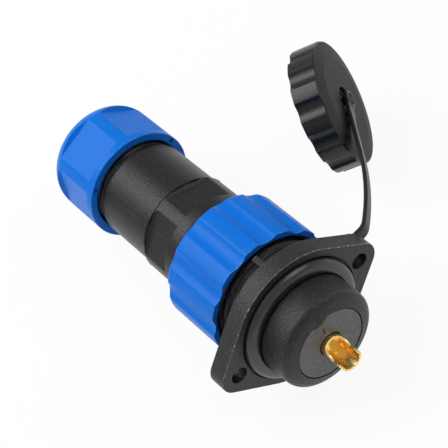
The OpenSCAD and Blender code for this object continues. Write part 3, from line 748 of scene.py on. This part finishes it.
def socket_contact():
    """Gold socket with a solder cup that is scooped open towards the lug's side."""
    bm = turned([
        Corner(0, CUP_FLOOR + CUP_CONE),
        Corner(CUP_BORE, CUP_FLOOR),
        Corner(CUP_BORE, CUP_TIP, 0.15),
        Corner(CUP_R, CUP_TIP, 0.2, 8),
        Corner(CUP_R, CUP_ROOT),
        Corner(SOCKET_R, CUP_ROOT),
        Corner(SOCKET_R, SOCKET_END, 0.3),
        Corner(SOCKET_MOUTH_R, SOCKET_END, 0.2),
        Corner(SOCKET_BORE, SOCKET_END - 0.4),
        Corner(SOCKET_BORE, SOCKET_FLOOR),
        Corner(0, SOCKET_FLOOR),
    ], ((TURN, CUP_SIDES),), TURN / CUP_SIDES / 2)
    beyond, over = CUP_TIP - 2, CUP_R + 2
    opening = prism([(beyond, OPEN_Z), (OPEN_END, OPEN_Z), (OPEN_END, over), (beyond, over)],
                    -over, over, (1, OPEN_ROUND))
    bm = combined(bm, "DIFFERENCE", opening)
    bmesh.ops.remove_doubles(bm, verts=bm.verts, dist=CUP_MERGE)
    soften(bm, CUP_EDGE, lambda p: p.y < OPEN_END + 0.2 and p.z > OPEN_Z - 0.1, 3, False)
    return bm


def coupling_ring():
    """Fluted ring with its screw thread and the lip that pulls the plug in."""
    half = math.asin(FLUTE_W / 2 / RING_R)
    land = TURN / FLUTES - 2 * half
    bm = turned([
        Corner(RING_BORE, RING_MOUTH_END),
        Corner(RING_MOUTH_R, RING_START, 0.12),
        Corner(RING_R, RING_START, EDGE, 6),
        Corner(RING_R, RING_END, RING_ROUND),
        Corner(RING_LIP_BORE, RING_END, 0.3),
        Corner(RING_LIP_BORE, RING_LIP),
        Corner(RING_BORE, RING_LIP, 0.2, 60),
    ], ((half, 10), (land, 8), (half, 10)) * FLUTES, FLUTE_TURN)

    def fluted(r, d, angle):
        if r < RING_BORE + MERGE and RING_MOUTH_END + 0.1 < d < RING_LIP - 0.3:
            return RING_BORE + RING_THREAD_H * ridge(d + PITCH / 2, angle, PITCH)
        off = from_nearest(angle, FLUTES, FLUTE_TURN)
        return soft_min(r, groove_radius(off, RING_R, FLUTE_W, FLUTE_DEPTH), 0.12)

    carve(bm, fluted)
    # The front edge's rounding takes the lighter blue, a painted highlight
    second_finish(bm, lambda r, d: r > RING_MOUTH_R + 0.2 and RING_START + MERGE < d < RING_START + EDGE)
    return bm


def plug_shell():
    """Plug body with its collar bead, five wrench flats, a moulding seam and the gland's thread."""
    flat = TURN / FLAT_COUNT - 2 * LAND_HALF
    side = ((LAND_HALF, 4), (flat, 36), (LAND_HALF, 4))
    before = SEAM_TURN - SEAM_HALF - LAND_TURN - LAND_HALF
    after = flat - before - 2 * SEAM_HALF
    seamed = ((LAND_HALF, 4), (before, 15), (2 * SEAM_HALF, 2), (after, 21), (LAND_HALF, 4))
    bm = turned([
        Corner(SPIGOT_MOUTH_R, SPIGOT_TIP),
        Corner(SPIGOT_R, SPIGOT_TIP, 0.3),
        Corner(SPIGOT_R, PLUG_FLANGE_START),
        Corner(PLUG_FLANGE_R, PLUG_FLANGE_START, 0.2),
        Corner(PLUG_FLANGE_R, PLUG_FLANGE_END, 0.2),
        Corner(COLLAR_R, PLUG_FLANGE_END),
        Corner(COLLAR_R, BEAD_START),
        Corner(BEAD_R, BEAD_START, 0.35),
        Corner(COLLAR_R, BEAD_END, 0.6),
        Corner(COLLAR_R, RELIEF_START, 0.15),
        Corner(RELIEF_R, RELIEF_START + 0.25, 0.1),
        Corner(RELIEF_R, FLATS_END - 0.2),
        Corner(BODY_R, FLATS_END, 0.2),
        Corner(BODY_R, BODY_END, 0.35),
        Corner(NECK_R, BODY_END, 0, 80),
        Corner(NECK_R, SHELL_END, 0.4),
        Corner(GLAND_BORE, SHELL_END, 0.25),
        Corner(GLAND_BORE, GLAND_SEAT),
        Corner(BODY_BORE, GLAND_SEAT),
        Corner(BODY_BORE, BODY_FLOOR),
        Corner(SPIGOT_BORE, BODY_FLOOR),
        Corner(SPIGOT_BORE, SPIGOT_TIP + 1),
        Corner(SPIGOT_MOUTH_R, SPIGOT_TIP + 1),
    ], seamed + side * (FLAT_COUNT - 1), LAND_TURN)
    rows_at(bm, FLATS_START, FLATS_RISE, SEAM_END)

    def shaped(r, d, angle):
        if d > BODY_END + MERGE and r > NECK_ROOT:
            run_out = 1 - fade(d, SHELL_END - 1.2, SHELL_END)
            return min(r, NECK_ROOT + (NECK_R - NECK_ROOT) * ridge(d, angle, NECK_PITCH) * run_out + 0.05)
        if FLATS_START < d < FLATS_END + 0.2 and r > GLAND_BORE:
            off = from_nearest(angle, FLAT_COUNT, LAND_TURN + TURN / FLAT_COUNT / 2)
            rise = (BODY_R - FLAT_DIST) * max(0, d - FLATS_RISE) / (FLATS_END - FLATS_RISE)
            r = soft_min(r, (FLAT_DIST + rise) / math.cos(off), 0.1)
        if r > GLAND_BORE and FLATS_START < d < SEAM_END and abs(angle - SEAM_TURN) < SEAM_HALF / 2:
            r += SEAM_H
        return r

    carve(bm, shaped)
    return bm


def gland_nut():
    """Domed nut with six sunk flats, an inner cone for the clamp and three small pockets in its rim."""
    bm = turned([
        Corner(NUT_MOUTH_R, NUT_START, 0.2),
        Corner(NUT_R, NUT_START, EDGE),
        Corner(NUT_R, NUT_END, NUT_ROUND),
        Corner(NUT_HOLE_R, NUT_END, 0.5),
        Corner(NUT_HOLE_R, CONE_END),
        Corner(CONE_TIP_R, CONE_END),
        Corner(CONE_ROOT_R, CONE_START),
        Corner(NUT_BORE, CONE_START, 0, 60),
        Corner(NUT_BORE, NUT_MOUTH_END),
        Corner(NUT_MOUTH_R, NUT_MOUTH_END),
    ])

    def threaded(r, d, angle):
        if abs(r - NUT_BORE) < MERGE and d < CONE_START - 0.2:
            run_in = fade(d, NUT_MOUTH_END, NUT_MOUTH_END + 1.5)
            return NUT_BORE + NUT_THREAD_H * ridge(d + NECK_PITCH / 2, angle, NECK_PITCH) * run_in
        return r

    carve(bm, threaded)
    # The rim's front edge rounding takes the lighter blue, a painted highlight
    second_finish(bm, lambda r, d: r > NUT_R - EDGE and NUT_START + MERGE < d < NUT_START + EDGE)
    flats = []
    over = NUT_FLAT + NUT_FLAT_RISE
    outline = [(NUT_FLAT_START, NUT_FLAT), (NUT_FLAT_END, NUT_FLAT),
               (NUT_FLAT_END + NUT_FLAT_RISE, over), (NUT_FLAT_START - NUT_FLAT_RISE / 3, over)]
    for i in range(NUT_FLATS):
        flat = prism(outline, -NUT_R, NUT_R)
        bmesh.ops.rotate(flat, verts=flat.verts, cent=ORIGIN, matrix=Matrix.Rotation(
            NUT_TURN + i * TURN / NUT_FLATS - LUG_SIDE, 3, AXIS))
        flats.append(flat)
    notches = [block((NOTCH_LEN, 2 * NOTCH_DEPTH, NOTCH_W), (NOTCH_AT, NUT_START, 0),
                     NUT_TURN - TURN / NUT_FLATS / 2 + i * TURN / NOTCHES) for i in range(NOTCHES)]
    bm = combined(bm, "DIFFERENCE", *flats)

    def on_flats(p):
        return math.hypot(p.x, p.z) > NUT_FLAT and NUT_START + 0.5 < p.y < NUT_FLAT_END + 2

    soften(bm, NUT_EDGE, on_flats, 2, False, 15)
    return combined(bm, "DIFFERENCE", *notches)


def strap_line(s):
    """Point and direction of the strap's middle line at a length from the flange's eye."""
    point, angle = Vector((HOLE_X, STRAP_REST, 0)), 0.0
    for length, turn in STRAP_RUN:
        part = min(s, length)
        bent = turn * part / length
        chord = part * (math.sin(bent / 2) / (bent / 2) if bent else 1)
        point = point + chord * Vector((math.cos(angle + bent / 2), math.sin(angle + bent / 2), 0))
        angle += bent
        s -= part
    return point, angle


def strap_place(s):
    """The strap's frame at a length from the flange's eye: across its width, through it and along it."""
    point, angle = strap_line(s)
    twist = STRAP_TWIST * fade(s, STRAP_FLAT_END - STRAP_SETTLE, STRAP_FLAT_END)
    flat = Vector((math.sin(angle), -math.cos(angle), 0))
    through = math.cos(twist) * flat + math.sin(twist) * UP
    across = math.cos(twist) * UP - math.sin(twist) * flat
    along = Vector((math.cos(angle), math.sin(angle), 0))
    return Matrix.Translation(point) @ Matrix((across, through, along)).transposed().to_4x4()


def on_cap():
    """The cap's frame: its axis through the strap's far eye, as the turned pieces' axis."""
    far = strap_place(STRAP_LEN)
    normal = far.to_3x3() @ Vector((0, 1, 0))
    across = (UP - UP.dot(normal) * normal).normalized()
    turn = Matrix((across, normal, normal.cross(across))).transposed().to_4x4()
    return Matrix.Translation(far.translation) @ turn


def eye(r, hole, sink, sink_floor):
    """Round end of the strap with a stepped hole."""
    return turned([
        Corner(hole, -EYE_T / 2, 0.1),
        Corner(r, -EYE_T / 2, 0.35),
        Corner(r, EYE_T / 2, 0.35),
        Corner(sink, EYE_T / 2, 0.15),
        Corner(sink, sink_floor),
        Corner(hole, sink_floor),
    ], ((TURN, 96),))


def cap_strap():
    """Flat strap swept along its bend, with an eye at each end."""
    start, finish = EYE_R - EYE_LAP, STRAP_LEN - CAP_EYE_R + CAP_LAP
    stops = [start + i * (finish - start) / STRAP_STEPS for i in range(STRAP_STEPS + 1)]
    bm = bmesh.new()
    made = bmesh.ops.create_grid(bm, x_segments=1, y_segments=1, size=0.5)
    bmesh.ops.scale(bm, vec=(STRAP_W, STRAP_T, 1), verts=made["verts"])
    bmesh.ops.bevel(bm, geom=bm.verts[:], offset=STRAP_EDGE, offset_type="OFFSET", segments=4, profile=0.5,
                    affect="VERTICES", clamp_overlap=True, material=-1)
    bmesh.ops.transform(bm, matrix=strap_place(stops[0]), verts=bm.verts)
    end = bm.faces[:]
    for before, after in zip(stops, stops[1:]):
        pushed = bmesh.ops.extrude_face_region(bm, geom=end)["geom"]
        if before > start:
            bmesh.ops.delete(bm, geom=end, context="FACES_ONLY")
        end = [f for f in pushed if isinstance(f, bmesh.types.BMFace)]
        bmesh.ops.transform(bm, matrix=strap_place(after) @ strap_place(before).inverted(),
                            verts=[v for v in pushed if isinstance(v, bmesh.types.BMVert)])
    bmesh.ops.recalc_face_normals(bm, faces=bm.faces)
    near, far = eye(EYE_R, SCREW_HOLE_R, SCREW_HOLE_R + 0.1, 0), eye(CAP_EYE_R, EYE_HOLE_R, EYE_SINK_R, 0)
    bmesh.ops.translate(near, vec=(HOLE_X, STRAP_REST, 0), verts=near.verts)
    bmesh.ops.transform(far, matrix=on_cap(), verts=far.verts)
    bmesh.ops.recalc_face_normals(far, faces=far.faces)
    return combined(bm, "UNION", near, far)


def dust_cap():
    """Grooved cap with a stepped face, an inner thread and the button that the strap turns on."""
    half = math.asin(CAP_GROOVE_W / 2 / CAP_R)
    land = TURN / CAP_GROOVES - 2 * half
    bm = turned([
        Corner(CAP_BORE, CAP_RIM, 0.3),
        Corner(CAP_R, CAP_RIM, 0.4, 16),
        Corner(CAP_R, CAP_GROOVE_FADE - 0.2, 0, 4),
        Corner(CAP_R, CAP_SHOULDER - CAP_EDGE, 0.12, 8),
        Corner(CAP_R - CAP_EDGE, CAP_SHOULDER, 0.15),
        Corner(CAP_DISC_R, CAP_TOP, 0.25),
        Corner(POCKET_R, CAP_TOP, 0.3),
        Corner(POCKET_R, POCKET_FLOOR, 0.3),
        Corner(BUTTON_BOSS_R, POCKET_FLOOR, 0.2),
        Corner(BUTTON_BOSS_R, BUTTON_SEAT),
        Corner(BUTTON_NECK_R, BUTTON_SEAT),
        Corner(BUTTON_NECK_R, BUTTON_HEAD),
        Corner(BUTTON_HEAD_R, BUTTON_HEAD, 0.08),
        Corner(BUTTON_HEAD_R, BUTTON_TOP - 0.3, 0.1),
        Corner(BUTTON_HEAD_R - 0.3, BUTTON_TOP, 0.1),
        Corner(0, BUTTON_TOP),
        Corner(0, CAP_ROOF),
        Corner(CAP_BORE, CAP_ROOF, 0.2, 28),
    ], ((half, 10), (land, 8), (half, 10)) * CAP_GROOVES, CAP_GROOVE_TURN)

    def grooved(r, d, angle):
        if abs(r - CAP_BORE) < MERGE and CAP_RIM + 0.4 < d < CAP_SEAL_END - 0.2:
            return CAP_BORE - CAP_THREAD_H * ridge(d, -angle, PITCH) * fade(d, CAP_RIM + 0.4, CAP_RIM + 1.2)
        off = from_nearest(angle, CAP_GROOVES, CAP_GROOVE_TURN)
        shrink = 2 * max(0.0, d - CAP_GROOVE_FADE)
        return soft_min(r, groove_radius(off, CAP_R, CAP_GROOVE_W, CAP_GROOVE_DEPTH, shrink), 0.14)

    carve(bm, grooved)
    second_finish(bm, lambda r, d: d > CAP_SHOULDER - 0.01)
    bmesh.ops.transform(bm, matrix=on_cap(), verts=bm.verts)
    return bm


def cap_seal():
    bm = turned([
        Corner(0, CAP_SEAL_END + 0.3),
        Corner(CAP_SEAL_DISH_R, CAP_SEAL_END + 0.3, 0.3),
        Corner(CAP_SEAL_LIP_R, CAP_SEAL_END, 0.3),
        Corner(CAP_BORE - SEAT_GAP, CAP_SEAL_END, 0.3),
        Corner(CAP_BORE - SEAT_GAP, CAP_ROOF, 0.2),
        Corner(0, CAP_ROOF),
    ])
    bmesh.ops.transform(bm, matrix=on_cap(), verts=bm.verts)
    return bm


slots = {sub["node"]: sub["material_slot"] for sub in frame["record"]["subparts"]}
for name, node in frame["nodes"].items():
    node.data.materials.clear()
    node.data.materials.append(FINISHES[slots[name]])

# The shell's second finish paints a highlight, with some wear, on the flange's rear edge
piece("shell_moulding", receptacle_shell(), "receptacle", "black_plastic", "receptacle_shell",
      "flange_plastic", "flange_edge_wear_and_highlight")
piece("flange_gasket", panel_gasket(), "receptacle", "seal_rubber", "panel_gasket")
piece("socket_insulator", receptacle_insert(), "receptacle", "insulator_plastic", "receptacle_insert")
piece("scooped_socket", socket_contact(), "receptacle", "gold_plate", "socket_contact")
piece("tether_strap", cap_strap(), "receptacle", "strap_rubber", "cap_strap")
piece("grooved_cap", dust_cap(), "cap", "cap_plastic", "dust_cap", "cap_plastic", "cap_face")
piece("cap_disc_seal", cap_seal(), "cap", "seal_rubber", "cap_seal")
piece("plug_moulding", plug_shell(), "plug", "black_plastic", "plug_shell")
# The ring's and nut's second finish paints a highlight on their front edges
piece("fluted_ring", coupling_ring(), "ring", "blue_plastic", "coupling_ring", "blue_plastic", "blue_edge_highlight")
piece("domed_nut", gland_nut(), "nut", "blue_plastic", "gland_nut", "blue_plastic", "blue_edge_highlight")

# Camera, in the photo's place
EYE = Vector((-68.305, -226.094, 324.779)) * MM
RIGHT = Vector((0.72179, -0.60855, -0.32966))
TOP = Vector((0.66948, 0.49310, 0.55556))
AHEAD = Vector((0.17553, 0.62170, -0.76333))
PICTURE = 448
FOCAL = 1620.3
SENSOR = 36.0
camera = bpy.data.objects.new("camera", bpy.data.cameras.new("camera"))
camera.data.sensor_width = SENSOR
camera.data.lens = FOCAL / PICTURE * SENSOR
camera.data.clip_start = 0.01
camera.matrix_world = Matrix.Translation(EYE) @ Matrix((RIGHT, TOP, -AHEAD)).transposed().to_4x4()
bpy.context.scene.collection.objects.link(camera)
bpy.context.scene.camera = camera

# Floor, lamps and white surroundings
CENTRE = Vector((0.02, 0.035, 0.0))
FLOOR_TONE = 0.92
FLOOR_WHITE = 0.92
FLOOR_R = 4.0
SKY_LIGHT = 0.34
SKY_SEEN = 0.62
floor_mesh = bpy.data.meshes.new("floor")
floor_shape = bmesh.new()
bmesh.ops.create_circle(floor_shape, cap_ends=True, segments=96, radius=FLOOR_R,
                        matrix=Matrix.Translation((0, 0, cad_box[0].z)))
floor_shape.to_mesh(floor_mesh)
floor_shape.free()
floor = bpy.data.objects.new("floor", floor_mesh)
bpy.context.scene.collection.objects.link(floor)
pale = bpy.data.materials.new("pale_floor")
paint = Finish(pale)
matt = paint.node("ShaderNodeBsdfDiffuse", None, {"Color": (FLOOR_TONE, FLOOR_TONE, FLOOR_TONE, 1)})
white = paint.node("ShaderNodeEmission", None, {"Color": (1, 1, 1, 1), "Strength": 1.0})
shown = paint.node("ShaderNodeMixShader", None, {0: paint.looked_at() * FLOOR_WHITE, 1: matt, 2: white})
paint.node("ShaderNodeOutputMaterial", None, {"Surface": shown})
floor_mesh.materials.append(pale)

world = bpy.data.worlds.new("studio")
bpy.context.scene.world = world
sky = Finish(world)
strength = sky.between(sky.looked_at(), SKY_LIGHT, SKY_SEEN)
glow = sky.node("ShaderNodeBackground", None, {"Color": (1, 1, 1, 1), "Strength": strength})
sky.node("ShaderNodeOutputWorld", None, {"Surface": glow})


def lamp(name, right, up, ahead, size, watts):
    """A soft square lamp that faces the part, at metres from its centre in the camera's directions."""
    light = bpy.data.lights.new(name, "AREA")
    light.size = size
    light.energy = watts
    obj = bpy.data.objects.new(name, light)
    away = right * RIGHT + up * TOP + ahead * AHEAD
    obj.matrix_world = Matrix.Translation(CENTRE + away) @ away.to_track_quat("Z", "Y").to_matrix().to_4x4()
    bpy.context.scene.collection.objects.link(obj)


lamp("left_softbox", right=-0.530, up=0.290, ahead=-0.240, size=0.46, watts=3.1)
lamp("right_softbox", right=0.230, up=0.398, ahead=-0.460, size=0.40, watts=1.0)

bpy.context.scene.view_settings.view_transform = "Standard"
